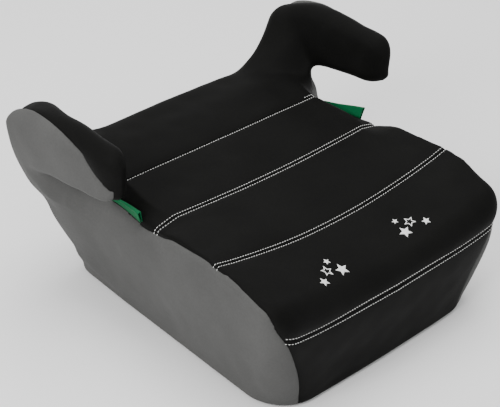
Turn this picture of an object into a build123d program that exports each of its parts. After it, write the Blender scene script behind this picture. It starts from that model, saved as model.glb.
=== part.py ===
"""Backless booster seat: ribbed moulded shell, foam padding and a sewn padded cover.

The origin is at the centre of the bounding box's bottom. +Z is up and the seat faces -Y.
"""

import os
from math import cos, pi, sin

from build123d import *

os.makedirs("parts", exist_ok=True)

# Overall size
overall_width = 426.0
overall_depth = 376.0
overall_height = 231.0
half_width = overall_width / 2
half_depth = overall_depth / 2

# Layers, from the outside in
cover_thickness = 5.0
foam_thickness = 18.0
arm_foam_thickness = 6.0
shell_wall = 3.0
hem_thickness = 3.0

# Side view of the seat between its arms: Y and Z of the cover's outer surface
front_foot_y = -176.0
front_overhang = 2.8
front_edge = (-half_depth - front_overhang, 92.0)
seam_front_edge = (-180.0, 94.0)
seam_front = (-96.0, 133.0)
seam_middle = (-1.0, 139.0)
seam_rear = (78.0, 150.0)
lip_top = (150.0, 165.0)
back_top = (170.0, 148.0)
rear_foot_y = 150.0

# Front view of one side: half width and height
side_foot = (148.0, 0.0)
side_waist = (170.0, 120.0)
side_shoulder = (half_width, 205.0)
side_bend = 90.0

# Top view of the seat and of the sides
front_half_width = 154.0
front_corner = 40.0
seat_half_width = 169.0
seat_taper_y = -60.0
edge_rounding = 16.0
side_full_width_y = -9.0
rear_corner = (34.0, 70.0)

# Belt channels, where the seat's edge dips under each arm: Y, then X and Z of its inner and outer edge
channel_front = (-16.0, (148.0, 141.0), (186.0, 128.0))
channel_rear = (106.0, (134.0, 154.0), (178.0, 110.0))

# Armrests
arm_tip_y = 14.0
arm_tip_middle_x = 189.0
arm_tip_half_width = 19.0
arm_tip_rounding = 16.0
arm_under_tip_z = 180.0
arm_under_rear_z = 161.0
arm_inner_foot = (167.0, 100.0)
arm_inner_top = (179.0, overall_height)
arm_rear_shoulder = (174.0, 212.0)
arm_rear_overhang = 2.1
arm_rear_bulge_z = 185.0
slot_rear_y = 111.0
slot_radius = 23.0
post_foot_z = 40.0
post_waist_z = 110.0

# Rear lip where it sweeps up into the arms: X and Z, then Y of its front
sweep_start = (112.0, 140.0)
sweep_end = (171.0, 216.0)
sweep_outer_x = 188.0
sweep_front_y = 100.0

# Panel borders: front corner seams and the arm panels' lower edges
apron_half_width = 143.0
apron_top_z = 93.0
arm_panel_x = 163.0
arm_panel_slot_z = 155.0
arm_panel_rear_z = 106.0
lip_half_width = 128.0
back_panel_y = 138.0
back_panel_top_z = 146.0

# Hem under the shell's rim, and the elastic in its casing
hem_width = 19.0
casing_width = 7.0
casing_height = 8.0
elastic_width = 4.0
elastic_thickness = 3.0

# Ribs under the deck
rib_spacing_x = 96.0
rib_spacing_y = 102.0
rib_middle_y = -14.0
rib_foot_z = 12.0

# Where the armrest horns join the shell's deck: half width and height
horn_split_x = 138.0
horn_split_z = 126.0

# Belt guides, standing up from the side seam in each slot: Y and Z of the upper edge
guide_front = (20.0, 147.0)
guide_rear = (84.0, 127.0)
guide_height = 17.0
guide_thickness = 4.0
guide_x = 166.0

# Twin-needle topstitching
thread = 0.8
needle_gap = 5.0
row_half_width = 152.0

# Stars on the front panel: X, distance below the front seam and outer radius
left_stars = [(-44.0, 36.5, 4.0), (-54.0, 45.0, 4.5), (-37.0, 51.0, 5.5), (-68.0, 53.0, 4.5)]
right_stars = [(62.0, 34.0, 4.0), (73.0, 41.5, 4.5), (60.0, 49.0, 5.5), (87.0, 49.0, 4.0)]
star_points = 5
star_waist = 0.46
star_relief = 0.6

past = 60.0


def back_y(z, inset):
    """Y of the leaning back at a height."""
    return rear_foot_y + (back_top[0] - rear_foot_y) * z / back_top[1] - inset


def front_y(z, inset):
    """Y of the leaning front at a height."""
    return front_foot_y + (front_edge[0] - front_foot_y) * z / front_edge[1] + inset


def side_x(z, inset):
    """Half width of the side wall below its waist."""
    return side_foot[0] + (side_waist[0] - side_foot[0]) * z / side_waist[1] - inset


def channel(inset, drop, side):
    """Space of one belt channel."""
    with BuildPart() as space:
        for y, inner, outer_edge in (channel_front, channel_rear):
            with BuildSketch(Plane.XZ.offset(-y)):
                with BuildLine():
                    Polyline(
                        (side * (inner[0] - inset), inner[1] - drop),
                        (side * (outer_edge[0] - inset), outer_edge[1] - drop),
                        (side * (half_width + past), outer_edge[1] - drop),
                        (side * (half_width + past), overall_height),
                        (side * (inner[0] - inset), overall_height),
                        close=True,
                    )
                make_face()
        loft(ruled=True)
    return space.part


def seat_block(inset, drop, foot):
    """The seat between its arms, its walls moved in by inset and its top lowered by drop."""
    front = front_edge[0] - past
    with BuildPart() as block:
        with BuildSketch(Plane.YZ):
            with BuildLine():
                FilletPolyline(
                    (front_y(foot, inset), foot),
                    (front_y(front_edge[1] - drop, inset), front_edge[1] - drop),
                    (seam_front[0], seam_front[1] - drop),
                    (seam_middle[0], seam_middle[1] - drop),
                    (seam_rear[0], seam_rear[1] - drop),
                    (lip_top[0], lip_top[1] - drop),
                    (back_y(back_top[1] - drop, inset), back_top[1] - drop),
                    (back_y(foot, inset), foot),
                    radius=[0, 26.0 - inset, 60.0, 60.0, 60.0, 14.0, 12.0, 0],
                    close=True,
                )
            make_face()
        extrude(amount=half_width, both=True)
        with BuildSketch(Plane.XY):
            with BuildLine():
                plan = FilletPolyline(
                    (0, front),
                    (front_half_width - inset, front),
                    (front_half_width - inset, front_edge[0]),
                    (seat_half_width - inset, seat_taper_y),
                    (seat_half_width - inset, half_depth),
                    (0, half_depth),
                    radius=[0, 0, 120.0, 0],
                )
                mirror(plan, about=Plane.YZ)
            make_face()
        extrude(amount=overall_height + past, both=True, mode=Mode.INTERSECT)
        side_faces = block.faces().filter_by(lambda face: abs(face.normal_at().X) > 0.9)
        side_edges = side_faces.edges().filter_by(lambda edge: edge.bounding_box().max.Z > foot + 1.0)
        fillet(side_edges, edge_rounding - inset)
        for side in (-1, 1):
            add(channel(inset, drop, side), mode=Mode.SUBTRACT)
    return block.part


def lip_block(inset, drop, foot):
    """Rear wall whose top edge sweeps up from the middle of the back into both arms."""
    right = [
        (0, sweep_start[1] - drop),
        (sweep_start[0], sweep_start[1] - drop),
        (sweep_end[0], sweep_end[1] - drop),
        (sweep_outer_x, sweep_end[1] - drop),
        (sweep_outer_x, foot),
    ]
    left = [(-x, z) for x, z in right]
    with BuildPart() as block:
        with BuildSketch(Plane.XZ):
            with BuildLine():
                FilletPolyline(*right, radius=[60.0, 14.0, 0])
                FilletPolyline(*left, radius=[60.0, 14.0, 0])
                Line(right[-1], left[-1])
            make_face()
        extrude(amount=half_depth, both=True)
        with BuildSketch(Plane.YZ):
            with BuildLine():
                FilletPolyline(
                    (sweep_front_y, foot),
                    (sweep_front_y, lip_top[1] - drop),
                    (lip_top[0] - 8.0, overall_height),
                    (arm_rear_shoulder[0] - 12.0 - inset, overall_height),
                    (half_depth - 2.0 - inset, arm_rear_bulge_z),
                    (back_y(post_waist_z, inset), post_waist_z),
                    (back_y(foot, inset), foot),
                    radius=[0, 50.0, 0, 0, 24.0, 50.0, 0],
                    close=True,
                )
            make_face()
        extrude(amount=half_width, both=True, mode=Mode.INTERSECT)
    return block.part


def arm_block(inset):
    """Right armrest and the post behind its belt slot."""
    with BuildPart() as block:
        with BuildSketch(Plane.YZ):
            with BuildLine():
                FilletPolyline(
                    (slot_rear_y + inset, post_foot_z),
                    (slot_rear_y + inset, arm_under_rear_z + inset),
                    (arm_tip_y + inset, arm_under_tip_z + inset),
                    (arm_tip_y + inset, overall_height - inset),
                    (slot_rear_y, overall_height - inset),
                    (arm_rear_shoulder[0] - inset, arm_rear_shoulder[1] - inset),
                    (half_depth + arm_rear_overhang - inset, arm_rear_bulge_z),
                    (back_y(post_waist_z, inset), post_waist_z),
                    (back_y(post_foot_z, inset), post_foot_z),
                    radius=[
                        0,
                        slot_radius + inset,
                        22.0 - inset,
                        28.0 - inset,
                        60.0,
                        26.0 - inset,
                        26.0 - inset,
                        50.0,
                        0,
                    ],
                    close=True,
                )
            make_face()
        extrude(amount=half_width)
        with BuildSketch(Plane.XZ):
            with BuildLine():
                Polyline(
                    (arm_inner_foot[0] + inset, post_foot_z),
                    (arm_inner_foot[0] + inset, arm_inner_foot[1]),
                    (arm_inner_top[0] + inset, arm_inner_top[1]),
                    (half_width + past, arm_inner_top[1]),
                    (half_width + past, post_foot_z),
                    close=True,
                )
            make_face()
        extrude(amount=half_depth, both=True, mode=Mode.INTERSECT)
        with BuildSketch(Plane.XY):
            with BuildLine():
                FilletPolyline(
                    (arm_inner_foot[0] - past, half_depth + past),
                    (arm_inner_foot[0] - past, slot_rear_y),
                    (arm_tip_middle_x - arm_tip_half_width + inset, slot_rear_y),
                    (arm_tip_middle_x - arm_tip_half_width + inset, arm_tip_y + inset),
                    (arm_tip_middle_x + arm_tip_half_width - inset, arm_tip_y + inset),
                    (half_width + past, slot_rear_y),
                    (half_width + past, half_depth + past),
                    radius=[0, 0, 0, arm_tip_rounding - inset, arm_tip_rounding - inset, 0, 0],
                    close=True,
                )
            make_face()
        extrude(amount=overall_height, mode=Mode.INTERSECT)
    return block.part


def between_sides(inset, foot):
    """Everything inside the flared side walls and the top view's taper."""
    right = [
        (side_x(foot, inset), foot),
        (side_waist[0] - inset, side_waist[1]),
        (side_shoulder[0] - inset, side_shoulder[1]),
        (side_shoulder[0] - inset, overall_height + past),
    ]
    left = [(-x, z) for x, z in right]
    front = -half_depth + inset
    side = half_width - inset
    with BuildPart() as limits:
        with BuildSketch(Plane.XZ):
            with BuildLine():
                FilletPolyline(*right, radius=side_bend)
                FilletPolyline(*left, radius=side_bend)
                Line(right[-1], left[-1])
                Line(right[0], left[0])
            make_face()
        extrude(amount=half_depth + past, both=True)
        with BuildSketch(Plane.XY):
            with BuildLine():
                plan = FilletPolyline(
                    (0, front),
                    (front_half_width - inset, front),
                    (seat_half_width + 5.0 - inset, seam_front[0]),
                    (side, side_full_width_y),
                    (side, half_depth - rear_corner[1]),
                    (side - rear_corner[0], half_depth + past),
                    (0, half_depth + past),
                    radius=[front_corner - inset, 120.0, 50.0, 40.0, 0],
                )
                mirror(plan, about=Plane.YZ)
            make_face()
        extrude(amount=overall_height + past, both=True, mode=Mode.INTERSECT)
    return limits.part


def trimmed(blocks, inset, foot):
    """The blocks as one solid, inside the side walls."""
    limits = between_sides(inset, foot)
    with BuildPart() as whole:
        for block in blocks:
            add(block)
        add(limits, mode=Mode.INTERSECT)
    return whole.part


def seat_form(inset, drop, foot):
    """Seat and rear lip without the arms."""
    return trimmed([seat_block(inset, drop, foot), lip_block(inset, drop, foot)], inset, foot)


def arms_form(inset):
    """Both arms."""
    arm = arm_block(inset)
    return trimmed([arm, arm.mirror(Plane.YZ)], inset, 0)


def whole_form(inset, drop, foot):
    """Seat, lip and arms."""
    arm = arm_block(inset)
    blocks = [seat_block(inset, drop, foot), lip_block(inset, drop, foot), arm, arm.mirror(Plane.YZ)]
    return trimmed(blocks, inset, foot)


def zone(x_range, y_range, z_range):
    """Box between the given limits."""
    size = [high - low for low, high in (x_range, y_range, z_range)]
    middle = [(low + high) / 2 for low, high in (x_range, y_range, z_range)]
    with BuildPart() as box:
        with Locations(tuple(middle)):
            Box(*size)
    return box.part


def save(part, name):
    """Labels a finished piece and writes its STEP file."""
    part.label = name
    export_step(part, f"parts/{name}.step")


# ---- Forms that several pieces share ----
wide = (-half_width - past, half_width + past)
deep = (-half_depth - past, half_depth + past)
tall = (-past, overall_height + past)
outer = whole_form(0, 0, 0)
lining = whole_form(cover_thickness, cover_thickness, -past)
inner_sides = between_sides(cover_thickness, -past)
foam_drop = cover_thickness + foam_thickness
horn_inset = cover_thickness + arm_foam_thickness
padded_seat = seat_form(cover_thickness, cover_thickness, hem_thickness)
bare_seat = seat_form(cover_thickness, foam_drop, hem_thickness)
padded_arms = arms_form(cover_thickness)
horns = arms_form(horn_inset)


# ---- Moulded shell ----
hollow_seat = seat_form(cover_thickness + shell_wall, foam_drop + shell_wall, -past)
hollow_horns = arms_form(horn_inset + shell_wall)

rib_height = (rib_foot_z, overall_height)
with BuildPart() as long_plates:
    for rib_x in (-rib_spacing_x / 2, rib_spacing_x / 2):
        add(zone((rib_x - shell_wall / 2, rib_x + shell_wall / 2), deep, rib_height))

with BuildPart() as cross_plates:
    for rib_y in (rib_middle_y - rib_spacing_y / 2, rib_middle_y + rib_spacing_y / 2):
        add(zone(wide, (rib_y - shell_wall / 2, rib_y + shell_wall / 2), rib_height))
    add(long_plates.part, mode=Mode.SUBTRACT)

for plates, name in ((long_plates, "shell_ribs_long"), (cross_plates, "shell_ribs_cross")):
    with BuildPart() as shell_ribs:
        add(plates.part)
        add(hollow_seat, mode=Mode.INTERSECT)
        add(hollow_horns, mode=Mode.SUBTRACT)
    save(shell_ribs.part, name)

with BuildPart() as moulding:
    add(bare_seat)
    add(horns)
    add(hollow_seat, mode=Mode.SUBTRACT)
    add(hollow_horns, mode=Mode.SUBTRACT)

right_horn_zone = zone((horn_split_x, wide[1]), deep, (horn_split_z, tall[1]))
with BuildPart() as shell_horn:
    add(moulding.part)
    add(right_horn_zone, mode=Mode.INTERSECT)
save(shell_horn.part, "shell_horn_right")
save(shell_horn.part.mirror(Plane.YZ), "shell_horn_left")

with BuildPart() as seat_shell:
    add(moulding.part)
    add(right_horn_zone, mode=Mode.SUBTRACT)
    add(right_horn_zone.mirror(Plane.YZ), mode=Mode.SUBTRACT)
save(seat_shell.part, "seat_shell")


# ---- Foam ----
with BuildPart() as seat_foam:
    add(padded_seat)
    add(bare_seat, mode=Mode.SUBTRACT)
    add(padded_arms, mode=Mode.SUBTRACT)
save(seat_foam.part, "seat_foam")

for side_name, half in (("left", (wide[0], 0)), ("right", (0, wide[1]))):
    with BuildPart() as armrest_foam:
        add(padded_arms)
        add(horns, mode=Mode.SUBTRACT)
        add(bare_seat, mode=Mode.SUBTRACT)
        add(zone(half, deep, tall), mode=Mode.INTERSECT)
    save(armrest_foam.part, f"armrest_foam_{side_name}")


# ---- Sewn cover ----
with BuildPart() as skin:
    add(outer)
    add(lining, mode=Mode.SUBTRACT)

arm_zone = zone((arm_panel_x, wide[1]), (deep[0], slot_rear_y - 2.0), (arm_panel_slot_z, tall[1]))
post_zone = zone((lip_half_width, wide[1]), (slot_rear_y - 2.0, deep[1]), (arm_panel_rear_z, tall[1]))
apron_zone = zone(wide, (deep[0], seam_front[0] - 40.0), (tall[0], apron_top_z))
back_zone = zone(wide, (back_panel_y, deep[1]), (tall[0], back_panel_top_z))

with BuildPart() as right_side:
    add(skin.part)
    add(inner_sides, mode=Mode.SUBTRACT)
    add(zone((apron_half_width, wide[1]), deep, tall), mode=Mode.INTERSECT)

with BuildPart() as black_skin:
    add(skin.part)
    add(right_side.part, mode=Mode.SUBTRACT)
    add(right_side.part.mirror(Plane.YZ), mode=Mode.SUBTRACT)

with BuildPart() as front_apron:
    add(black_skin.part)
    add(apron_zone, mode=Mode.INTERSECT)

with BuildPart() as back:
    add(black_skin.part)
    add(back_zone, mode=Mode.INTERSECT)

with BuildPart() as right_arm:
    add(arm_zone)
    add(post_zone)
    add(black_skin.part, mode=Mode.INTERSECT)
    add(back_zone, mode=Mode.SUBTRACT)

with BuildPart() as top_skin:
    add(black_skin.part)
    for panel in (front_apron.part, back.part, right_arm.part, right_arm.part.mirror(Plane.YZ)):
        add(panel, mode=Mode.SUBTRACT)

save(front_apron.part, "cover_front_apron")
save(back.part, "cover_back")
save(right_side.part, "cover_side_right")
save(right_side.part.mirror(Plane.YZ), "cover_side_left")
save(right_arm.part, "cover_arm_right")
save(right_arm.part.mirror(Plane.YZ), "cover_arm_left")

rows = {
    "topstitch_front_edge": seam_front_edge[0],
    "topstitch_front": seam_front[0],
    "topstitch_middle": seam_middle[0],
    "topstitch_rear": seam_rear[0],
}
borders = [deep[0], seam_front[0], seam_middle[0], seam_rear[0], deep[1]]
panels = ["cover_seat_front", "cover_seat_middle", "cover_seat_rear", "cover_back_lip"]
for name, front, rear in zip(panels, borders, borders[1:]):
    with BuildPart() as seat_panel:
        add(top_skin.part)
        add(zone(wide, (front, rear), tall), mode=Mode.INTERSECT)
    save(seat_panel.part, name)


# ---- Hem, its casing and the elastic ----
def foot_slab(inset, low, high):
    """Slice of the seat's lower body, moved in by inset."""
    with BuildPart() as slab:
        with BuildSketch(Plane.YZ):
            with BuildLine():
                Polyline(
                    (front_y(low, inset), low),
                    (front_y(high, inset), high),
                    (back_y(high, inset), high),
                    (back_y(low, inset), low),
                    close=True,
                )
            make_face()
        extrude(amount=half_width, both=True)
    return trimmed([slab.part], inset, low)


def rim_ring(outer_inset, inner_inset, low, high):
    """Band that follows the foot of the seat between two insets."""
    with BuildPart() as ring:
        add(foot_slab(outer_inset, low, high))
        add(foot_slab(inner_inset, low, high), mode=Mode.SUBTRACT)
    return ring.part


hem_inner = cover_thickness + hem_width
elastic_outer = hem_inner - (casing_width + elastic_width) / 2
elastic_low = (casing_height - elastic_thickness) / 2

elastic_inner = elastic_outer + elastic_width
elastic = rim_ring(elastic_outer, elastic_inner, elastic_low, elastic_low + elastic_thickness)
save(elastic, "elastic_cord")

with BuildPart() as cover_hem:
    add(rim_ring(cover_thickness, hem_inner, 0, hem_thickness))
    add(rim_ring(hem_inner - casing_width, hem_inner, 0, casing_height))
    add(elastic, mode=Mode.SUBTRACT)
    add(front_apron.part, mode=Mode.SUBTRACT)
save(cover_hem.part, "cover_hem")


# ---- Belt guides ----
with BuildPart() as belt_guide:
    with BuildSketch(Plane.YZ.offset(guide_x - guide_thickness / 2)):
        with BuildLine():
            FilletPolyline(
                guide_front,
                guide_rear,
                (guide_rear[0], guide_rear[1] - guide_height / 2),
                (guide_front[0], guide_front[1] - guide_height),
                radius=[3.0, 0, 0, 3.0],
                close=True,
            )
        make_face()
    extrude(amount=guide_thickness)
    add(outer, mode=Mode.SUBTRACT)
save(belt_guide.part, "belt_guide_right")
save(belt_guide.part.mirror(Plane.YZ), "belt_guide_left")


# ---- Topstitching ----
thread_layer = whole_form(-thread, -thread, 0)
row_length = (-row_half_width, row_half_width)
row_height = (front_edge[1] - 15.0, lip_top[1])
for name, row_y in rows.items():
    with BuildPart() as topstitch:
        for line_y in (row_y - needle_gap / 2, row_y + needle_gap / 2):
            add(zone(row_length, (line_y - thread / 2, line_y + thread / 2), row_height))
        add(thread_layer, mode=Mode.INTERSECT)
        add(outer, mode=Mode.SUBTRACT)
    save(topstitch.part, name)


# ---- Stars on the front panel ----
slope = Vector(0, front_edge[0] - seam_front[0], front_edge[1] - seam_front[1]).normalized()
front_plane = Plane(origin=(0, *seam_front), x_dir=(1, 0, 0), z_dir=Vector(1, 0, 0).cross(-slope))
with BuildPart() as star_motif:
    with BuildSketch(front_plane):
        for star_x, below, radius in left_stars + right_stars:
            turns = [pi / 2 + pi * i / star_points for i in range(2 * star_points)]
            reaches = [radius if i % 2 == 0 else star_waist * radius for i in range(2 * star_points)]
            with BuildLine():
                Polyline(
                    [(star_x + r * cos(t), r * sin(t) - below) for r, t in zip(reaches, turns)],
                    close=True,
                )
            make_face()
    extrude(amount=star_relief)
save(star_motif.part, "star_motif")
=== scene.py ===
import math

import bmesh
import bpy
import numpy as np
from mathutils import Matrix, Vector, kdtree
from mathutils.bvhtree import BVHTree


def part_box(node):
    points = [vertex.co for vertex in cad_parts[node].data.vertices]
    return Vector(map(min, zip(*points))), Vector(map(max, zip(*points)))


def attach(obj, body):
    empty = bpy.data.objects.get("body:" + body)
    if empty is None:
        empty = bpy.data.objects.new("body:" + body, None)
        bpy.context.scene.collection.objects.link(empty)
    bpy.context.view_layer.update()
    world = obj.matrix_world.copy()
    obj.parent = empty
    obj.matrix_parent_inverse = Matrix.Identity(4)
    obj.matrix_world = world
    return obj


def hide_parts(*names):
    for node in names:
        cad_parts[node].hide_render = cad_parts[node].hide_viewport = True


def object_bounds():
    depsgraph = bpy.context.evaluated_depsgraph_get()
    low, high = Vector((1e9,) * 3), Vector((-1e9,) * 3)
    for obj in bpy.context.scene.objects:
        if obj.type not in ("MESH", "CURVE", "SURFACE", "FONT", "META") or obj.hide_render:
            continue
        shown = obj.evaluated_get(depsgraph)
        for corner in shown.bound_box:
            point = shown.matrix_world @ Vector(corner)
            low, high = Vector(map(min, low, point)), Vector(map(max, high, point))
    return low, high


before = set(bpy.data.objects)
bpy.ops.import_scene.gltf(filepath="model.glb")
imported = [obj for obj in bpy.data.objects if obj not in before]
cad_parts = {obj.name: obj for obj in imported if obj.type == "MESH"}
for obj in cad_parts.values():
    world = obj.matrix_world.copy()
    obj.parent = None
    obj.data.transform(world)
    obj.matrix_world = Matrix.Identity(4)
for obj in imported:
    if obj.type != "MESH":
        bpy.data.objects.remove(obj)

CAD_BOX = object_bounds()

# The covered seat is shaped in millimetres, with X to the side, the front towards -Y and Z up.
# It is the same left and right, so the shape is a function of the distance x from the middle.
MM = 0.001
STEP = 3.0  # Cell of the grid on which the surface is found


def node_mm(name):
    low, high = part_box(name)
    return np.array(low) / MM, np.array(high) / MM


def middle_y(name):
    low, high = node_mm(name)
    return (low[1] + high[1]) / 2


WHOLE_LOW, WHOLE_HIGH = np.array(CAD_BOX[0]) / MM, np.array(CAD_BOX[1]) / MM
ARM_LOW, ARM_HIGH = node_mm("cover_arm_right")
SEAM_FRONT = middle_y("topstitch_front")
SEAM_MIDDLE = middle_y("topstitch_middle")
SEAM_REAR = middle_y("topstitch_rear")
LIP_TOP_Y = 152.0
ARM_TIP_Y = ARM_LOW[1] - 6.0
ARM_TOP_Z = ARM_HIGH[2] - 2.5
ARM_OUT_X = WHOLE_HIGH[0] - 3
SLOT_REAR_Y = 111.0
BACK_SEAM_Z = 146.0
FRONT_Y = WHOLE_LOW[1] + 1.5
BACK_Y = WHOLE_HIGH[1] - 0.5


# ---- curves and rounded joins ----

def curve(*points):
    """A natural cubic through a few points, straight on beyond its ends."""
    px, py = np.array(points, float).T
    gap, n = np.diff(px), len(px)
    a, b = np.eye(n), np.zeros(n)
    for i in range(1, n - 1):
        a[i, i - 1:i + 2] = gap[i - 1], 2 * (gap[i - 1] + gap[i]), gap[i]
        b[i] = 6 * ((py[i + 1] - py[i]) / gap[i] - (py[i] - py[i - 1]) / gap[i - 1])
    bend = np.linalg.solve(a, b)
    start = (py[1] - py[0]) / gap[0] - gap[0] * bend[1] / 6
    end = (py[-1] - py[-2]) / gap[-1] + gap[-1] * bend[-2] / 6

    def value(x):
        x = np.asarray(x, float)
        t = np.clip(x, px[0], px[-1])
        i = np.clip(np.searchsorted(px, t) - 1, 0, n - 2)
        h = gap[i]
        u, v = t - px[i], px[i + 1] - t
        inner = (bend[i] * v ** 3 + bend[i + 1] * u ** 3) / (6 * h)
        inner += (py[i] / h - bend[i] * h / 6) * v + (py[i + 1] / h - bend[i + 1] * h / 6) * u
        return inner + np.minimum(x - px[0], 0) * start + np.maximum(x - px[-1], 0) * end
    return value


def rise(value, start, end):
    """A smooth step: 0 up to start, 1 from end on."""
    t = np.clip((value - start) / (end - start), 0, 1)
    return t * t * (3 - 2 * t)


def swell(value, middle, width):
    """A smooth hump: 1 at the middle, and almost nothing two widths away."""
    return np.exp(-((value - middle) / width) ** 2)


def round_max(a, b, r):
    """Where two solids overlap, with their outer edge rounded to radius r."""
    u, v = a + r, b + r
    return np.minimum(np.maximum(u, v), 0) + np.hypot(np.maximum(u, 0), np.maximum(v, 0)) - r


def round_min(a, b, r):
    """Two solids joined, with the inner corner rounded to radius r."""
    return -round_max(-a, -b, r)


# ---- the covered seat ----

# Half width at each height: beside the seat, along the front of the arms, and at the rear
SIDE_SEAT = curve((0, 152), (40, 158), (80, 165.5), (118, 168.5), (140, 171), (160, 174), (180, 176),
                  (220, 178))
SIDE_FORE = curve((0, 152), (40, 158), (80, 165.5), (118, 168.5), (138, 171), (150, 186), (163, 200),
                  (180, 205), (198, ARM_OUT_X - 4), (211, ARM_OUT_X - 4), (226, ARM_OUT_X - 9))
SIDE_REAR = curve((0, 150.5), (26, 155), (60, 169), (102, 186), (132, 199), (160, 209),
                  (181, ARM_OUT_X + 3), (205, ARM_OUT_X + 4), (226, ARM_OUT_X - 2))
# Y of the front and back walls, and radius of the front corners, at each height
FRONT = curve((0, FRONT_Y + 5.5), (50, FRONT_Y + 2.5), (95, FRONT_Y - 0.5), (135, FRONT_Y - 1))
BACK = curve((0, 150), (26, 156), (60, 165), (102, 175), (132, 180), (180, BACK_Y), (240, BACK_Y))
FRONT_CORNER = curve((0, 48), (50, 28), (105, 27), (140, 28))
# Heights along Y of the seat and the arms, and how far the seat rises towards its sides
SEAT_TOP = curve((-190, 112), (-150, 122), (-96, 131.5), (-48, 136), (-1, 139.5), (40, 143),
                 (78, 148.5), (110, 152.5), (LIP_TOP_Y - 2, 155.3), (175, 153.5), (200, 149))
DISH = curve((-190, 25), (-96, 17), (-1, 6), (78, 0), (150, -2))
ARM_TOP = curve((-20, ARM_TOP_Z - 5), (13, ARM_TOP_Z - 2), (61, ARM_TOP_Z), (101, ARM_TOP_Z),
                (128, ARM_TOP_Z - 2), (155, ARM_TOP_Z - 9), (188, ARM_TOP_Z - 24))
ARM_UNDER = curve((-20, 188), (0, 180), (24, 170.5), (52, 165.5), (89, 159.5), (109, 156))
# Half width to each arm's inner face at each height
ARM_INNER = curve((100, 167), (170, 171), (241, 179))
# The seat's edge under each arm: its half width and its height along Y
UNDER_ARM_Y = (-20, 116)
RIDGE_X = curve((-20, 166.7), (20, 161), (69, 154.5), (92, 157), (116, 168))
RIDGE_Z = curve((-20, 139.5), (20, 137.5), (69, 133.5), (92, 138), (116, 151))
# Y, half width and height of the line where the belt's way under each arm leaves the seat
CHANNEL_FRONT = (-16, 148, 141)
CHANNEL_REAR = (106, 134, 154)
POST_SWELL = 8.0
SLOT_BEND_X = 167  # Outside this half width the rear wall of each belt slot slants rearwards
SLOT_SLANT = 1.25
# The arm's seam lies on a slanted plane: half width less height, along Y
ARM_SEAM = curve((0, -3), (20, -4), (47, -5), (73, -13), (103, -21), (134, -24), (161, -22), (188, -12))
# Half width of the apron at each height, and height of its top seam across the seat
APRON_SIDE = curve((0, 122), (49, 131), (80, 144), (105, 157), (125, 172))
FRONT_SEAM_Z = curve((0, 95), (80, 97.5), (130, 101.5), (157, 106))


def ridge_x(y):
    """Half width of the seat's edge, which runs inwards under the arms."""
    return RIDGE_X(np.clip(y, *UNDER_ARM_Y))


def soft_lower(a, b, width):
    """The lower of two heights, with the join smoothed."""
    return 0.5 * (a + b - np.sqrt((a - b) ** 2 + width ** 2))


def side_channel(x, y):
    """The belt's way under the arm: down to the seat's edge, then steeply down outside it."""
    (front_y, front_x, front_z), (rear_y, rear_x, rear_z) = CHANNEL_FRONT, CHANNEL_REAR
    along = (y - front_y) / (rear_y - front_y)
    start_x = front_x + (rear_x - front_x) * along
    start_z = front_z + (rear_z - front_z) * along
    edge_x, edge_z = ridge_x(y), RIDGE_Z(np.clip(y, *UNDER_ARM_Y))
    inner = start_z + (x - start_x) * (edge_z - start_z) / (edge_x - start_x)
    outer_slope = 0.9 + 0.5 * rise(y, 10, 70)
    outer = edge_z - outer_slope * (x - edge_x)
    return soft_lower(inner, outer, 5)


def seat_height(x, y):
    """Height of the dished seat, cut down under the arms as far as the rear wall of each slot."""
    dish_half_width = 150
    plain = SEAT_TOP(y) + DISH(y) * np.clip(x / dish_half_width, 0, 1.2) ** 2
    cut = plain + np.minimum(side_channel(x, y) - plain, 0) * rise(y, -34, 2)
    slanted_y = y - SLOT_SLANT * np.maximum(x - SLOT_BEND_X + 2, 0)
    return cut + (plain - cut) * rise(slanted_y, SLOT_REAR_Y - 13, SLOT_REAR_Y + 7)


def side_width(y, z):
    """Half width of the side wall, which widens where the arms begin and again at the rear."""
    fore = SIDE_SEAT(z) + (SIDE_FORE(z) - SIDE_SEAT(z)) * rise(y, -30, -5)
    return fore + (SIDE_REAR(z) - fore) * rise(y, 55, 140)


def arm_tip(x):
    """Y of each arm's front end, which runs back on both sides of its middle."""
    middle_x, run_back = 190, 0.9
    return ARM_TIP_Y + 2.5 + run_back * np.abs(x - middle_x)


def perimeter(x, y, z):
    """Distance outside the upright walls that go round the seat."""
    bow_depth, bow_top, bow_half_width = 3, 100, 126
    bow = bow_depth * (1 - np.clip(z, 0, bow_top) / bow_top) * (x / bow_half_width) ** 2
    wall = round_max(x - side_width(y, z), FRONT(z) + bow - y, FRONT_CORNER(np.clip(z, 0, 140)))
    rear_corner = 24 - 8 * rise(z, 20, 60)
    return round_max(wall, y - BACK(z), rear_corner)


# Radii of the rounded edges and joins
NOSE_ROUND = 27
TIP_ROUND = 12
ARM_UNDER_ROUND = 11
ARM_INNER_ROUND = 14
POST_FOOT_ROUND = 5
SLOT_ROUND = 18
EDGE_ROUND = 14
FOOT_ROUND = 7
ARM_JOIN = 16
BACK_JOIN = 46  # How much wider the arms' join with the seat becomes behind the slots

POST_FOOT_Z = 60
TIP_STEEPNESS = 0.75


def arms(x, y, z):
    """Both arms and the posts that carry them, with the belt slots left open."""
    slot_wall = y - SLOT_REAR_Y - SLOT_SLANT * np.maximum(x - SLOT_BEND_X, 0)
    slot = round_max(slot_wall, z - ARM_UNDER(y), SLOT_ROUND + 8 * rise(x, 180, 200))
    inner_face = ARM_INNER(z) - POST_SWELL * rise(y, 105, 155)
    shape = round_max(z - ARM_TOP(y), ARM_TIP_Y - y, NOSE_ROUND)
    shape = round_max(shape, -slot, ARM_UNDER_ROUND)
    shape = round_max(shape, inner_face - x, ARM_INNER_ROUND)
    shape = round_max(shape, TIP_STEEPNESS * (arm_tip(x) - y), TIP_ROUND)
    return round_max(shape, POST_FOOT_Z - z, POST_FOOT_ROUND)


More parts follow.
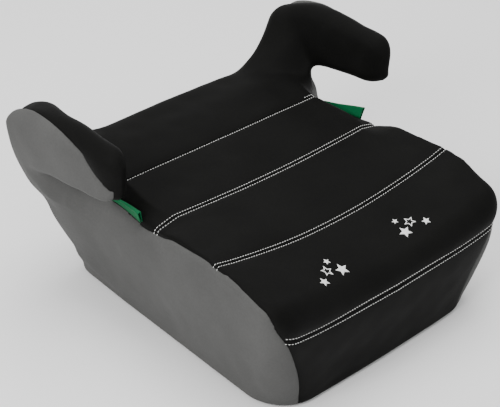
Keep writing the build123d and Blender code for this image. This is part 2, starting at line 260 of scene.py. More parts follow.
def edge_radius(x, y, z):
    """Radius of the outer edge: larger at the front and on the lip's middle, smaller round the arms."""
    front = 10 * rise(y, -118, -163)
    lip = 9 * rise(y, 125, 150) * rise(x, 130, 90)
    arm = 6 * rise(z, 145, 157) * rise(z, 196, 184) * rise(y, 104, 74)
    return EDGE_ROUND + front + lip - arm


def form(p):
    """Negative inside the covered seat, and close to the distance near its surface."""
    x, y, z = np.abs(p[:, 0]), p[:, 1], p[:, 2]
    join = ARM_JOIN + BACK_JOIN * rise(y, 112, 152)
    inner = round_min(z - seat_height(x, y), arms(x, y, z), join)
    body = round_max(inner, perimeter(x, y, z), edge_radius(x, y, z))
    return round_max(body, -z, FOOT_ROUND)


# ---- where one fabric ends and the next begins ----

SIDE_SEAM_INSET = 4.5
BACK_SEAM_INSET = 4
ARM_FROM_Z = 150
UNDER_ARM_TOP_Z = 152
HEM_OUTER, HEM_INNER = 9, 21  # Distance of the hem's two edges inside the wall


def grey_field(p):
    """Positive on the grey side fabric: the sides, the outer face and the underside of each arm."""
    x, y, z = np.abs(p[:, 0]), p[:, 1], p[:, 2]
    edge = side_width(y, z) - SIDE_SEAM_INSET
    front = soft_lower(APRON_SIDE(z), edge + 1, 5)
    # The seam follows the seat's edge under each arm, and runs outwards behind the slot and at the tip
    behind = 7 * rise(y, 94, 110)
    tip = 18 * rise(y, ARM_TIP_Y + 40, ARM_TIP_Y + 10)
    seat_seam = np.minimum(edge, ridge_x(y) + 1.5 + behind)
    arm_seam = np.minimum(edge, ARM_INNER(z) + 8 + behind + tip)
    rear = np.where(z < UNDER_ARM_TOP_Z, seat_seam, arm_seam)
    bound = rear + (front - rear) * rise(y, -92, -122)
    field = np.minimum(x - bound, 0.7 * (x - z - ARM_SEAM(y)))
    field = np.minimum(field, BACK(z) - BACK_SEAM_INSET - y)
    # The black tip reaches back over the top of the arm
    tip_seam = y - arm_tip(x) + 3 - 1.3 * np.maximum(z - 184, 0)
    return np.where(z > ARM_FROM_Z, np.minimum(field, tip_seam), field)


def front_seam_field(p):
    return p[:, 2] - FRONT_SEAM_Z(np.abs(p[:, 0]))


def wall_field(inset):
    """Positive outside a line that runs round the seat at a distance inside its walls."""
    return lambda p: perimeter(np.abs(p[:, 0]), p[:, 1], p[:, 2]) + inset


def plane_field(axis, place):
    return lambda p: p[:, axis] - place


# ---- making and cutting the surface ----

MIN_SLOPE = 0.05  # Keeps a step along a gradient finite where the field is almost level
SNAP = 0.28  # A vertex nearer a seam than this share of a cell is moved on to it


def surface_nets(value, origin, step):
    """One vertex in each cell that the surface crosses, and one quad across each crossed edge."""
    shape = tuple(np.array(value.shape) - 1)
    total, count = np.zeros(shape + (3,)), np.zeros(shape)

    def corner(d):
        return value[d[0]:d[0] + shape[0], d[1]:d[1] + shape[1], d[2]:d[2] + shape[2]]

    for axis in range(3):
        for u in (0, 1):
            for v in (0, 1):
                first = [0, 0, 0]
                first[(axis + 1) % 3], first[(axis + 2) % 3] = u, v
                second = list(first)
                second[axis] = 1
                a, b = corner(first), corner(second)
                cross = (a < 0) != (b < 0)
                t = np.where(cross, a / np.where(cross, a - b, 1), 0)
                for k in range(3):
                    total[..., k] += np.where(cross, first[k] + (t if k == axis else 0), 0)
                count += cross
    cells = np.argwhere(count > 0)
    index = np.full(shape, -1)
    index[tuple(cells.T)] = np.arange(len(cells))
    points = origin + step * (cells + total[tuple(cells.T)] / count[tuple(cells.T)][:, None])
    quads = []
    for axis in range(3):
        ahead = [slice(None)] * 3
        here = [slice(None)] * 3
        ahead[axis], here[axis] = slice(1, None), slice(None, -1)
        a, b = value[tuple(here)], value[tuple(ahead)]
        e = np.argwhere((a < 0) != (b < 0))
        ob, oc = np.eye(3, dtype=int)[(axis + 1) % 3], np.eye(3, dtype=int)[(axis + 2) % 3]
        four = [e - ob - oc, e - oc, e, e - ob]
        q = np.stack([index[tuple(c.T)] for c in four], 1)
        back = a[tuple(e.T)] >= 0
        q[back] = q[back][:, ::-1]
        quads.append(q)
    return points, np.concatenate(quads)


def gradient(field, p):
    reach = 0.2
    g = np.zeros_like(p)
    for k in range(3):
        d = np.zeros(3)
        d[k] = reach
        g[:, k] = (field(p + d) - field(p - d)) / (2 * reach)
    return g


def to_surface(p, rounds):
    """Moves points on to the seat's surface, by at most 2 mm in each round."""
    longest = 2.0
    for _ in range(rounds):
        g = gradient(form, p)
        move = form(p)[:, None] * g / np.maximum((g * g).sum(1), MIN_SLOPE)[:, None]
        size = np.linalg.norm(move, axis=1)[:, None]
        p = p - move * np.minimum(1, longest / np.maximum(size, 1e-9))
    return p


def relax(p, faces, rounds):
    """Evens the mesh out along the surface."""
    edges = np.concatenate([faces[:, [i, (i + 1) % 4]] for i in range(4)])
    edges = np.unique(np.sort(edges, 1), axis=0)
    a, b = np.concatenate([edges[:, 0], edges[:, 1]]), np.concatenate([edges[:, 1], edges[:, 0]])
    near = np.bincount(a, minlength=len(p))
    for _ in range(rounds):
        mean = np.stack([np.bincount(a, p[b, k], len(p)) / near for k in range(3)], 1)
        p = to_surface(p + 0.5 * (mean - p), rounds=1)
    return p


def cut(points, faces, labels, field, old, yes, no):
    """Cuts the faces labelled old along field = 0, and relabels them yes above it and no below."""
    touched = sorted({v for f, l in zip(faces, labels) if l == old for v in f})
    p = points[touched]
    g = gradient(field, p)
    s = field(p)
    steep = np.linalg.norm(g, axis=1)
    close = (np.abs(s) < SNAP * STEP * steep) & (steep > 1e-6)
    move = s[:, None] * g / np.maximum(steep ** 2, 1e-9)[:, None]
    for _ in range(2):
        p[close] -= move[close]
        p[close] = to_surface(p[close], rounds=1)
        g = gradient(field, p)
        move = field(p)[:, None] * g / np.maximum((g * g).sum(1), 1e-9)[:, None]
    s = field(p)
    s[close] = 0
    points = points.copy()
    points[touched] = p
    value = dict(zip(touched, s.tolist()))
    made, new_points, new_faces, new_labels = {}, [], [], []
    count = len(points)
    for f, l in zip(faces, labels):
        if l != old:
            new_faces.append(f)
            new_labels.append(l)
            continue
        v = [value[i] for i in f]
        if min(v) >= 0 or max(v) <= 0:
            new_faces.append(f)
            new_labels.append(yes if sum(v) > 0 else no)
            continue
        above, below = [], []
        for k, i in enumerate(f):
            j, a, b = f[(k + 1) % len(f)], v[k], v[(k + 1) % len(f)]
            if a >= 0:
                above.append(i)
            if a <= 0:
                below.append(i)
            if a * b < 0:
                key = (min(i, j), max(i, j))
                if key not in made:
                    made[key] = count + len(new_points)
                    t = a / (a - b)
                    new_points.append(points[i] * (1 - t) + points[j] * t)
                above.append(made[key])
                below.append(made[key])
        for part, name in ((above, yes), (below, no)):
            if len(part) > 2:
                new_faces.append(tuple(part))
                new_labels.append(name)
    if new_points:
        points = np.concatenate([points, np.array(new_points)])
    return points, new_faces, new_labels


MARGIN = 9  # Room round the seat in which its surface is looked for
GRID_SHIFT = 0.013  # Keeps the grid's planes off the flat bottom
UNDERSIDE_Z = 4
FORE_Y = -100
AFT_Y = 120
SEAT_REAR_Y, SEAT_UNDER_Z = 100, 158


def build_surface():
    """The whole covered seat as points, faces and the name of the fabric on each face."""
    low = WHOLE_LOW - MARGIN
    low[0] = -math.ceil((WHOLE_HIGH[0] + MARGIN) / STEP) * STEP
    high = WHOLE_HIGH + MARGIN
    counts = [int(math.ceil((high[k] - low[k]) / STEP)) + 1 for k in range(3)]
    counts[0] = int(round(-2 * low[0] / STEP)) + 1
    axes = [low[k] + STEP * np.arange(counts[k]) + (GRID_SHIFT if k else 0) for k in range(3)]
    grid = np.stack(np.meshgrid(*axes, indexing="ij"), -1).reshape(-1, 3)
    value = form(grid).reshape(counts)
    points, quads = surface_nets(value, np.array([a[0] for a in axes]), STEP)
    points = to_surface(points, rounds=3)
    points = relax(points, quads, 4)
    points = to_surface(points, rounds=2)
    faces = [tuple(q) for q in quads.tolist()]
    z = points[:, 2]
    labels = ["under" if max(z[i] for i in f) < UNDERSIDE_Z else "all" for f in faces]
    # The turned edge lies on the flat underside, which is open inside it
    points, faces, labels = cut(points, faces, labels, wall_field(HEM_OUTER), "under", "all", "hem")
    points, faces, labels = cut(points, faces, labels, wall_field(HEM_INNER), "hem", "hem", "open")
    # The grey sides, then the seams that divide the black fabric from front to back
    points, faces, labels = cut(points, faces, labels, grey_field, "all", "grey", "black")
    labels = zoned(points, faces, labels, "black", lambda c: c[1] < FORE_Y, "fore")
    points, faces, labels = cut(points, faces, labels, front_seam_field, "fore", "black", "apron")
    labels = zoned(points, faces, labels, "black", lambda c: c[1] > AFT_Y, "aft")
    points, faces, labels = cut(points, faces, labels, plane_field(2, BACK_SEAM_Z), "aft", "lip", "back")
    labels = zoned(points, faces, labels, "black",
                   lambda c: c[2] < SEAT_UNDER_Z and c[1] < SEAT_REAR_Y, "seat")
    labels = ["lip" if l == "black" else l for l in labels]
    points, faces, labels = cut(points, faces, labels, plane_field(1, SEAM_REAR), "seat", "lip", "seat")
    points, faces, labels = cut(points, faces, labels, plane_field(1, SEAM_MIDDLE), "seat", "rear", "seat")
    points, faces, labels = cut(points, faces, labels, plane_field(1, SEAM_FRONT), "seat", "middle", "front")
    labels = zoned(points, faces, labels, "grey", lambda c: c[0] > 0, "right")
    labels = ["left" if l == "grey" else l for l in labels]
    return to_surface(points, rounds=1), faces, labels


def zoned(points, faces, labels, old, test, new):
    """Relabels those faces of one label whose middle passes a test."""
    out = []
    for f, l in zip(faces, labels):
        if l == old and test(points[list(f)].mean(0)):
            l = new
        out.append(l)
    return out


# ---- the sewn relief ----

def noise(p, seed, scale):
    """Smooth seeded waves, about -1 to 1, as wide as scale."""
    waves = 9
    rng = np.random.default_rng(seed)
    total = np.zeros(len(p))
    for _ in range(waves):
        way = rng.normal(size=3)
        way *= rng.uniform(0.7, 1.5) * 2 * math.pi / (scale * np.linalg.norm(way))
        total += np.sin(p @ way + rng.uniform(0, 2 * math.pi))
    return total / math.sqrt(waves)


def seam_distance(points, faces, labels):
    """Distance from each vertex to the nearest seam, where two fabrics meet."""
    seen = {}
    for f, l in zip(faces, labels):
        if l == "open":
            continue
        for i in f:
            seen.setdefault(i, set()).add(l)
    seam = [i for i, ls in seen.items() if len(ls) > 1]
    tree = kdtree.KDTree(len(seam))
    for n, i in enumerate(seam):
        tree.insert(Vector(points[i]), n)
    tree.balance()
    return np.array([tree.find(Vector(q))[2] for q in points])


PUFF = 1.8
SEAT_PUFF = 3.6
SEAM_DEPTH = 1.2
CREASE_DEPTH = 0.35
SETTLE = 1.6  # The cover as a whole lies this far inside the plain shape


def relief(points, faces, labels):
    """How far the fabric stands out from the plain shape: puffed between seams, drawn in at them."""
    x, y, z = np.abs(points[:, 0]), points[:, 1], points[:, 2]
    gap = seam_distance(points, faces, labels)
    on_seat = rise(z, 90, 110) * rise(x, 150, 130) * rise(y, 150, 120)
    puff = (PUFF + (SEAT_PUFF - PUFF) * on_seat) * (1 - np.exp(-np.maximum(gap - 2.5, 0) / 12))
    groove = -SEAM_DEPTH * swell(gap, 0, 2.2)
    soft = 0.9 * noise(points, 5, 95) + 0.35 * noise(points, 6, 38)
    soft *= 1 - np.exp(-gap / 12)
    # Slight creases run from the side seam towards the middle of the seat
    crease = np.sin(y / 7.5 + 1.2 * noise(points, 7, 60)) * swell(x, 150, 16)
    crease *= CREASE_DEPTH * rise(z, 100, 120) * rise(y, 60, 20)
    # The side panels are drawn in below the arm, and swell again above their turned edge
    flank = rise(x, 140, 152) * rise(y, -120, -60)
    valley = -3.0 * flank * swell(z + 0.16 * y, 122, 15) * rise(y, 20, 80)
    ridge = 2.2 * flank * swell(z - 0.05 * (y + 100), 14, 7) * rise(y, 10, 70)
    band = 1.6 * flank * swell(z - 0.1 * y, 62, 22) * rise(y, 60, -20)
    # The arm's outer face has a raised, folded lower edge
    fold = 1.2 * rise(x, 185, 195) * swell(z - ARM_UNDER(y), 7, 4) * rise(y, 120, 90)
    fold = np.where(z > ARM_FROM_Z, fold, 0)
    # The cover is flat where it rests on the ground
    off_ground = rise(z, 0, 14)
    return (puff + groove + soft + crease - SETTLE) * off_ground + valley + ridge + band + fold


def mesh_piece(name, points, faces, material):
    used = sorted({i for f in faces for i in f})
    place = {i: n for n, i in enumerate(used)}
    mesh = bpy.data.meshes.new(name)
    mesh.from_pydata((points[used] * MM).tolist(), [], [[place[i] for i in f] for f in faces])
    mesh.update()
    piece = bpy.data.objects.new(name, mesh)
    bpy.context.scene.collection.objects.link(piece)
    mesh.materials.append(material)
    for f in mesh.polygons:
        f.use_smooth = True
    return piece


def finish_panel(piece, thickness):
    fine = piece.modifiers.new("finer", "SUBSURF")
    fine.levels = fine.render_levels = 1
    fine.boundary_smooth = "PRESERVE_CORNERS"
    thick = piece.modifiers.new("cloth", "SOLIDIFY")
    thick.thickness = thickness * MM
    thick.offset = -1
    thick.use_even_offset = False
    return piece


# ---- materials, whose depths are in metres and whose scales are per metre ----

def shader(name, base, rough, sheen=0.0, specular=0.5):
    mat = bpy.data.materials.new(name)
    mat.use_nodes = True
    bsdf = mat.node_tree.nodes["Principled BSDF"]
    bsdf.inputs["Base Color"].default_value = (*base, 1)
    bsdf.inputs["Roughness"].default_value = rough
    bsdf.inputs["Sheen Weight"].default_value = sheen
    bsdf.inputs["Sheen Roughness"].default_value = 0.45
    bsdf.inputs["Specular IOR Level"].default_value = specular
    return mat


def texture(mat, kind, **settings):
    """A procedural texture laid out in the object's own space."""
    nodes, links = mat.node_tree.nodes, mat.node_tree.links
    made = nodes.new("ShaderNodeTex" + kind)
    for name, value in settings.items():
        made.inputs[name].default_value = value
    coords = nodes.new("ShaderNodeTexCoord")
    links.new(coords.outputs["Object"], made.inputs["Vector"])
    return made


def vary_colour(mat, factor, dark, light):
    """The base colour runs from dark to light with a texture."""
    nodes, links = mat.node_tree.nodes, mat.node_tree.links
    tone = nodes.new("ShaderNodeMix")
    tone.data_type = "RGBA"
    tone.inputs["A"].default_value = (*dark, 1)
    tone.inputs["B"].default_value = (*light, 1)
    links.new(factor, tone.inputs["Factor"])
    links.new(tone.outputs["Result"], nodes["Principled BSDF"].inputs["Base Color"])


def add_bump(mat, height, strength, depth, under=None):
    """Raises the surface with a texture, over another bump if one is given."""
    nodes, links = mat.node_tree.nodes, mat.node_tree.links
    bump = nodes.new("ShaderNodeBump")
    bump.inputs["Strength"].default_value = strength
    bump.inputs["Distance"].default_value = depth
    links.new(height, bump.inputs["Height"])
    if under:
        links.new(under.outputs["Normal"], bump.inputs["Normal"])
    links.new(bump.outputs["Normal"], nodes["Principled BSDF"].inputs["Normal"])
    return bump


def fabric(name, dark, light, rough, sheen, specular):
    """A close knit: small round loops, slightly uneven in colour, with a soft nap."""
    mat = shader(name, dark, rough, sheen, specular)
    nodes, links = mat.node_tree.nodes, mat.node_tree.links
    loops = texture(mat, "Voronoi", Scale=900, Randomness=0.35)
    cloud = texture(mat, "Noise", Scale=14, Detail=6)
    fuzz = texture(mat, "Noise", Scale=420, Detail=3)
    # Unevenness of colour: the cloud with half of the fuzz on top of it
    add = nodes.new("ShaderNodeMath")
    add.operation = "MULTIPLY_ADD"
    add.inputs[1].default_value = 0.5
    links.new(fuzz.outputs["Fac"], add.inputs[0])
    links.new(cloud.outputs["Fac"], add.inputs[2])
    spread = nodes.new("ShaderNodeMapRange")
    spread.inputs["From Min"].default_value = 0.45
    spread.inputs["From Max"].default_value = 1.05
    links.new(add.outputs[0], spread.inputs["Value"])
    vary_colour(mat, spread.outputs["Result"], dark, light)
    knobs = add_bump(mat, loops.outputs["Distance"], 0.35, 0.0004)
    knobs.invert = True
    add_bump(mat, fuzz.outputs["Fac"], 0.25, 0.0006, under=knobs)
    return mat


WAVE_SCALE = 0.314  # Scale at which Blender's wave texture repeats about once in each unit


def ribbed(name, dark, light, rough, sheen, axis, pitch):
    """Woven tape or twisted thread: fine ribs across one axis, pitch millimetres apart."""
    mat = shader(name, dark, rough, sheen, 0.15)
    mat.node_tree.nodes["Principled BSDF"].inputs["Sheen Roughness"].default_value = 0.4
    ribs = texture(mat, "Wave", Scale=WAVE_SCALE / (pitch * MM), Distortion=0.6, Detail=2)
    ribs.bands_direction = axis
    grain = texture(mat, "Noise", Scale=500)
    vary_colour(mat, grain.outputs["Fac"], dark, light)
    add_bump(mat, ribs.outputs["Fac"], 0.5, 0.0003)
    return mat


def moulded(name, dark, light, rough):
    """Moulded plastic with a fine spark-eroded grain."""
    mat = shader(name, dark, rough)
    grain = texture(mat, "Noise", Scale=900, Detail=4)
    cloud = texture(mat, "Noise", Scale=18)
    vary_colour(mat, cloud.outputs["Fac"], dark, light)
    add_bump(mat, grain.outputs["Fac"], 0.3, 0.0002)
    return mat


BLACK = fabric("black_knit", (0.0030, 0.0030, 0.0028), (0.0052, 0.0052, 0.0048), 0.62, 0.003, specular=0.05)
GREY = fabric("grey_knit", (0.058, 0.058, 0.0565), (0.080, 0.080, 0.078), 0.72, 0.02, specular=0.12)
TAPE = ribbed("black_tape", (0.010, 0.010, 0.010), (0.018, 0.018, 0.018), 0.7, 0.2, "X", 1.4)
GREEN = ribbed("green_ribbon", (0.0, 0.080, 0.026), (0.0, 0.125, 0.042), 0.6, 0.0, "Y", 1.1)
THREAD = ribbed("white_thread", (0.62, 0.62, 0.60), (0.86, 0.86, 0.84), 0.6, 0.3, "DIAGONAL", 0.4)
SATIN = ribbed("star_thread", (0.74, 0.74, 0.73), (0.92, 0.92, 0.91), 0.45, 0.3, "DIAGONAL", 0.5)
CORD = ribbed("elastic_band", (0.55, 0.55, 0.53), (0.75, 0.75, 0.72), 0.7, 0.2, "X", 0.8)
PLASTIC = moulded("shell_moulding", (0.018, 0.018, 0.019), (0.028, 0.028, 0.029), 0.48)


# ---- pieces ----

points, faces, labels = build_surface()
outward = gradient(form, points)
outward /= np.maximum(np.linalg.norm(outward, axis=1), 1e-6)[:, None]
points = points + outward * relief(points, faces, labels)[:, None]


def panel(name, label, material, slot, thickness, *nodes):
    chosen = [f for f, l in zip(faces, labels) if l == label]
    piece = finish_panel(mesh_piece(name, points, chosen, material), thickness)
    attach(piece, "root")
    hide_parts(*nodes)
    return piece


# Thickness of each kind of cloth, with the foam that backs it
SEAT_CLOTH, ARM_CLOTH, COVER_CLOTH, HEM_CLOTH = 5, 4, 2.5, 1.6

seat_front = panel("seat_front", "front", BLACK, "black_fabric", SEAT_CLOTH, "cover_seat_front")
seat_middle = panel("seat_middle", "middle", BLACK, "black_fabric", SEAT_CLOTH, "cover_seat_middle",
                    "seat_foam")
seat_rear = panel("seat_rear", "rear", BLACK, "black_fabric", SEAT_CLOTH, "cover_seat_rear")
bolster = panel("back_and_arms", "lip", BLACK, "black_fabric", ARM_CLOTH, "cover_back_lip",
                "cover_arm_left", "cover_arm_right", "armrest_foam_left", "armrest_foam_right",
                "shell_horn_left", "shell_horn_right")
apron = panel("front_apron", "apron", BLACK, "black_fabric", COVER_CLOTH, "cover_front_apron")
back = panel("back_panel", "back", BLACK, "black_fabric", COVER_CLOTH, "cover_back")
left = panel("side_left", "left", GREY, "grey_fabric", COVER_CLOTH, "cover_side_left")
right = panel("side_right", "right", GREY, "grey_fabric", COVER_CLOTH, "cover_side_right")
hem = panel("hem", "hem", TAPE, "hem_tape", HEM_CLOTH, "cover_hem")


def surface_area(piece):
    piece.data.update()
    return sum(f.area for f in piece.data.polygons)


def cut_piece(piece):
    """Finds the surface area of a sewn piece; the value is not used."""
    area = surface_area(piece)


cut_piece(apron)
cut_piece(back)
cut_piece(left)
cut_piece(right)
cut_piece(hem)


def finish_nodes(material, *names):
    for name in names:
        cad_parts[name].data.materials.clear()
        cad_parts[name].data.materials.append(material)


FOOT_CLEARANCE = 5.5


def inner_shell():
    """The CAD moulding, with its foot drawn in to keep clear of the cover's rounder corners."""
    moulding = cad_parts["seat_shell"]
    shell = moulding.copy()
    shell.data = moulding.data.copy()
    shell.name = "shell_moulding"
    bpy.context.scene.collection.objects.link(shell)
    to_world = moulding.matrix_world
    place = np.array([tuple(to_world @ v.co) for v in shell.data.vertices]) / MM
    limit = wall_field(FOOT_CLEARANCE)
    for _ in range(3):
        outside = np.maximum(limit(place), 0)
        way = gradient(limit, place)
        place -= outside[:, None] * way / np.maximum((way * way).sum(1), MIN_SLOPE)[:, None]
    to_local = to_world.inverted()
    for vertex, p in zip(shell.data.vertices, place):
        vertex.co = to_local @ Vector(p * MM)
    shell.data.update()
    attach(shell, "root")
    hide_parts("seat_shell")


finish_nodes(PLASTIC, *[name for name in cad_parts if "shell" in name])
finish_nodes(CORD, "elastic_cord")
inner_shell()


# ---- topstitching ----

def surface_tree(*pieces):
    graph = bpy.context.evaluated_depsgraph_get()
    vertices, polygons = [], []
    for piece in pieces:
        mesh = piece.evaluated_get(graph).to_mesh()
        start = len(vertices)
        vertices += [v.co / MM for v in mesh.vertices]
        polygons += [[start + i for i in f.vertices] for f in mesh.polygons]
    return BVHTree.FromPolygons(vertices, polygons)


def follow(tree, rays):
    """Where the rays meet the cloth, as one unbroken line of (place, normal)."""
    longest_jump, fewest = 4, 40
    line = []
    for origin, way in rays:
        place, normal, _, _ = tree.ray_cast(Vector(origin), Vector(way).normalized())
        if place is None or (line and (place - line[-1][0]).length > longest_jump):
            if len(line) > fewest:
                break
            line = []
            continue
        line.append((place, normal))
    return line


def spaced(line, pitch):
    """Evenly spaced (place, normal, direction) along a line."""
    out, left = [], 0.0
    for (a, n), (b, _) in zip(line, line[1:]):
        step = (b - a).length
        while left < step:
            out.append((a.lerp(b, left / max(step, 1e-9)), n, (b - a).normalized()))
            left += pitch
        left -= step
    return out


STITCH_PITCH = 3.4
STITCH_LENGTH = 2.35
THREAD_RADIUS = 0.34
# Each ring of a stitch: its place along it, the width of the thread there and the height of its middle
STITCH_SHAPE = ((-0.5, 0.3, -0.35), (-0.4, 0.8, 0.05), (-0.18, 1.0, 0.3), (0.18, 1.0, 0.3),
                (0.4, 0.8, 0.05), (0.5, 0.3, -0.35))
STITCH_SIDES = 7


def add_stitches(mesh_points, mesh_faces, places, rng):
    for place, normal, along in places:
        across = along.cross(normal).normalized()
        up = across.cross(along).normalized()
        along = (along + across * rng.uniform(-0.07, 0.07)).normalized()
        length = STITCH_LENGTH * rng.uniform(0.93, 1.05)
        start = len(mesh_points)
        for far, width, height in STITCH_SHAPE:
            middle = place + along * far * length + up * height
            for k in range(STITCH_SIDES):
                turn = 2 * math.pi * k / STITCH_SIDES
                out = across * math.cos(turn) + up * math.sin(turn)
                mesh_points.append(middle + out * width * THREAD_RADIUS)
        rings = len(STITCH_SHAPE)
        for ring in range(rings - 1):
            for k in range(STITCH_SIDES):
                a = start + ring * STITCH_SIDES + k
                b = start + ring * STITCH_SIDES + (k + 1) % STITCH_SIDES
                mesh_faces.append((a, b, b + STITCH_SIDES, a + STITCH_SIDES))
        mesh_faces.append(tuple(start + k for k in reversed(range(STITCH_SIDES))))
        last = start + (rings - 1) * STITCH_SIDES
        mesh_faces.append(tuple(last + k for k in range(STITCH_SIDES)))


def stitched(name, tree, rows, node, seed):
    """One mesh of separate stitches along every row of rays."""
    rng = np.random.default_rng(seed)
    mesh_points, mesh_faces = [], []
    for rays in rows:
        add_stitches(mesh_points, mesh_faces, spaced(follow(tree, rays), STITCH_PITCH), rng)
    piece = mesh_piece(name, np.array([tuple(v) for v in mesh_points]), mesh_faces, THREAD)
    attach(piece, "root")
    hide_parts(node)
    return piece


ROW_RAYS = 900


def fan_row(y, half):
    """Rays down on to the seat that open like a fan, so that they also meet its rounded sides."""
    low_z, depth, far = -100.0, 240, 600
    turns = np.arctan(np.linspace(-half, half, ROW_RAYS) / depth)
    return [((far * math.sin(t), y, low_z + far * math.cos(t)), (-math.sin(t), 0, -math.cos(t)))
            for t in turns]


def short_row(y, low_x, high_x):
    """Rays straight down from under the arms."""
    return [((x, y, 172.0), (0, 0, -1)) for x in np.linspace(low_x, high_x, 120)]


def edge_row(offset, half):
    """Rays back on to the front edge, a little above or below its seam."""
    return [((x, WHOLE_LOW[1] - 60, float(FRONT_SEAM_Z(abs(x))) + offset), (0, 1, 0))
            for x in np.linspace(-half, half, ROW_RAYS)]


ROW_GAP = 2.6  # Distance of each row from its seam
ROW_HALF = 176.0
black_tree = surface_tree(seat_front, seat_middle, seat_rear)
lip_tree = surface_tree(bolster)
edge_tree = surface_tree(seat_front, apron)
stitched("stitch_front", black_tree, [fan_row(SEAM_FRONT + o, ROW_HALF) for o in (-ROW_GAP, ROW_GAP)],
         "topstitch_front", 11)
stitched("stitch_middle", black_tree, [fan_row(SEAM_MIDDLE + o, ROW_HALF) for o in (-ROW_GAP, ROW_GAP)],
         "topstitch_middle", 12)
stitched("stitch_rear", black_tree, [fan_row(SEAM_REAR - ROW_GAP, 158)], "topstitch_rear", 13)
stitched("stitch_rear_ends", lip_tree, [short_row(SEAM_REAR + ROW_GAP, 128, 150)], "topstitch_rear", 15)
stitched("stitch_front_edge", edge_tree, [edge_row(o, 153) for o in (3.1, -3.6)],
         "topstitch_front_edge", 14)


# ---- embroidered stars ----

def motif_stars():
    """Middle and radius of each star of the CAD motif."""
    mesh = bmesh.new()
    mesh.from_mesh(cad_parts["star_motif"].data)
    bmesh.ops.remove_doubles(mesh, verts=mesh.verts, dist=1e-5)
    left, found = set(mesh.verts), []
    while left:
        grown, edge = set(), [min(left, key=lambda v: v.index)]
        while edge:
            v = edge.pop()
            if v in grown:
                continue
            grown.add(v)
            edge += [e.other_vert(v) for e in v.link_edges]
        left -= grown
        place = np.array([tuple(v.co) for v in sorted(grown, key=lambda v: v.index)]) / MM
        middle = place.mean(0)
        found.append((middle, np.linalg.norm(place - middle, axis=1).max()))
    mesh.free()
    return sorted(found, key=lambda s: s[0][0])


STAR_SHIFT = Vector((-15.0, 0.0, 0.5))
STAR_POINTS = 5
STAR_WAIST = 0.46
STAR_SINK = 0.05
# Each ring of a star: its share of the radius, and its height above the cloth
SOLID_RINGS = ((1.0, 0.0), (0.9, 0.4), (0.7, 0.62), (0.4, 0.7), (0.12, 0.72))
OUTLINE_RINGS = ((1.0, 0.0), (0.94, 0.45), (0.84, 0.55), (0.74, 0.45), (0.66, 0.0))
# From left to right: which stars are only an outline, and each one's growth and tilt
OUTLINED = (1, 6)
STAR_GROWTH = (1.3, 1.6, 1.05, 1.45, 1.4, 0.95, 1.55, 1.3)
STAR_TILT = (0.12, -0.2, 0.1, 0.0, 0.15, -0.1, 0.2, -0.15)


def star(mesh_points, mesh_faces, tree, middle, radius, rings, closed, tilt):
    """A pillowed star that lies on the cloth, or only its raised outline if it isn't closed."""
    out = Vector((0, -0.7, 0.7))
    place, normal, _, _ = tree.ray_cast(Vector(middle) + STAR_SHIFT + out * 40, -out)
    side = Vector((1, 0, 0))
    side = (side - normal * side.dot(normal)).normalized()
    up = normal.cross(side)
    corners = []
    for k in range(2 * STAR_POINTS):
        reach = radius * (1.0 if k % 2 == 0 else STAR_WAIST)
        turn = math.pi / 2 + math.pi * k / STAR_POINTS + tilt
        corners.append(Vector((reach * math.cos(turn), reach * math.sin(turn))))
    rim = []
    for k, c in enumerate(corners):
        following = corners[(k + 1) % len(corners)]
        rim += [c.lerp(following, part / 3) for part in range(3)]
    start, n = len(mesh_points), len(rim)
    for share, height in rings:
        for p in rim:
            target = place + side * p.x * share + up * p.y * share
            ground, _, _, _ = tree.ray_cast(target + normal * 12, -normal)
            mesh_points.append((ground or target) + normal * (height - STAR_SINK))
    for ring in range(len(rings) - 1):
        for k in range(n):
            a, b = start + ring * n + k, start + ring * n + (k + 1) % n
            mesh_faces.append((a, b, b + n, a + n))
    if closed:
        mesh_faces.append(tuple(start + (len(rings) - 1) * n + k for k in range(n)))


star_tree = surface_tree(seat_front)
star_points, star_faces = [], []
for rank, (middle, radius) in enumerate(motif_stars()):
    outlined = rank in OUTLINED
    star(star_points, star_faces, star_tree, middle, radius * STAR_GROWTH[rank],
         OUTLINE_RINGS if outlined else SOLID_RINGS, not outlined, STAR_TILT[rank])
stars = mesh_piece("stars", np.array([tuple(v) for v in star_points]), star_faces, SATIN)
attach(stars, "root")
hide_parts("star_motif")


# ---- belt guides ----

GUIDE_FRONT = Vector((0, 22.5, 136.5))
GUIDE_REAR = Vector((0, 77.0, 132.5))
GUIDE_HEIGHT = 9.5  # How much taller its front end is than its rear end
GUIDE_REAR_HEIGHT = 5.0
GUIDE_SINK = 3.5
GUIDE_GAP, GUIDE_FLARE = 1.2, 2.6  # Width of the sleeve at its rear, and how much wider it is in front
GUIDE_LEAN = math.radians(15)
GUIDE_CLOTH = 0.6


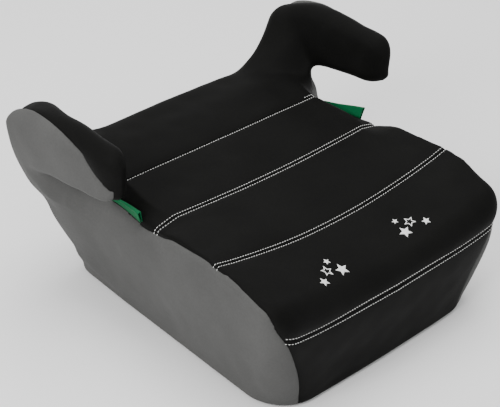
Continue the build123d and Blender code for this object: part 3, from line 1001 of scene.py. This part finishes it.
def belt_guide(name, node, side):
    """A green ribbon folded into a sleeve, open at its front end and sewn into the side seam."""
    stations, around = 30, 21
    run = GUIDE_REAR - GUIDE_FRONT
    up = np.array((math.sin(GUIDE_LEAN), -0.06, math.cos(GUIDE_LEAN)))
    out = np.array((math.cos(GUIDE_LEAN), 0.0, -math.sin(GUIDE_LEAN)))
    mesh_points, mesh_faces = [], []
    for i in range(stations):
        t = i / (stations - 1)
        y = GUIDE_FRONT.y + run.y * t
        foot = np.array((ridge_x(y) - 0.5, y, GUIDE_FRONT.z + run.z * t - GUIDE_SINK))
        tall = GUIDE_HEIGHT * (1 - t) ** 0.8 + GUIDE_REAR_HEIGHT
        half = 0.5 * (GUIDE_GAP + GUIDE_FLARE * (1 - t) ** 2)
        for k in range(around):
            u = 2 * k / (around - 1) - 1
            height = tall * (1 - abs(u) ** 4) ** 0.5
            bulge = half * math.copysign(min(1.0, abs(u) * 4), u) * (0.6 + 0.4 * math.sin(math.pi * abs(u)))
            wave = 0.25 * math.sin(7 * t + 1.5 * u)
            p = foot + up * (height + wave) + out * bulge
            mesh_points.append((side * p[0], p[1], p[2]))
    for i in range(stations - 1):
        for k in range(around - 1):
            a = i * around + k
            quad = (a, a + 1, a + around + 1, a + around)
            mesh_faces.append(quad if side > 0 else quad[::-1])
    piece = finish_panel(mesh_piece(name, np.array(mesh_points), mesh_faces, GREEN), GUIDE_CLOTH)
    piece.modifiers["cloth"].offset = 0
    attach(piece, "root")
    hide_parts(node)
    area = surface_area(piece)


belt_guide("guide_left", "belt_guide_left", -1)
belt_guide("guide_right", "belt_guide_right", 1)


# ---- floor, light and camera ----

FLOOR_REACH = 6.0
FLOOR_DROP = 0.0005


def area_light(name, place, size, power):
    """A soft square light, in metres and watts, turned towards the seat."""
    target = Vector((0, 0, 0.1))
    lamp = bpy.data.lights.new(name, "AREA")
    lamp.shape = "RECTANGLE"
    lamp.size = lamp.size_y = size
    lamp.energy = power
    light = bpy.data.objects.new(name, lamp)
    bpy.context.scene.collection.objects.link(light)
    light.location = place
    light.rotation_euler = (target - Vector(place)).to_track_quat("-Z", "Y").to_euler()


floor_mesh = bpy.data.meshes.new("floor")
floor_mesh.from_pydata([(x * FLOOR_REACH, y * FLOOR_REACH, -FLOOR_DROP)
                        for x, y in ((-1, -1), (1, -1), (1, 1), (-1, 1))], [], [(0, 1, 2, 3)])
floor = bpy.data.objects.new("floor", floor_mesh)
bpy.context.scene.collection.objects.link(floor)
floor_mesh.materials.append(shader("pale_floor", (0.9, 0.9, 0.9), 0.9))

world = bpy.data.worlds.new("studio")
bpy.context.scene.world = world
world.use_nodes = True
backdrop = world.node_tree.nodes["Background"]
backdrop.inputs["Color"].default_value = (1, 1, 1, 1)
backdrop.inputs["Strength"].default_value = 1.0
area_light("key", (-1.6, -0.3, 1.3), 0.8, 26)
area_light("top", (0.2, 0.3, 1.9), 1.4, 24)

CAMERA_TARGET = Vector((0.01035, 0.04174, 0.07173))
CAMERA_DISTANCE = 1.5516
CAMERA_AZIMUTH = math.radians(-44.6)
CAMERA_ELEVATION = math.radians(34.4)
CAMERA_ROLL = math.radians(3.0)
CAMERA_LENS, CAMERA_SENSOR = 100.8, 36

away = Vector((math.sin(CAMERA_AZIMUTH) * math.cos(CAMERA_ELEVATION),
               -math.cos(CAMERA_AZIMUTH) * math.cos(CAMERA_ELEVATION), math.sin(CAMERA_ELEVATION)))
across = Vector((math.cos(CAMERA_AZIMUTH), math.sin(CAMERA_AZIMUTH), 0))
upright = away.cross(across)
tilted = math.cos(CAMERA_ROLL) * across + math.sin(CAMERA_ROLL) * upright
lens = bpy.data.cameras.new("camera")
lens.lens = CAMERA_LENS
lens.sensor_width = CAMERA_SENSOR
camera = bpy.data.objects.new("camera", lens)
bpy.context.scene.collection.objects.link(camera)
camera.location = CAMERA_TARGET + away * CAMERA_DISTANCE
camera.rotation_euler = Matrix((tilted, away.cross(tilted), away)).transposed().to_euler()
bpy.context.scene.camera = camera
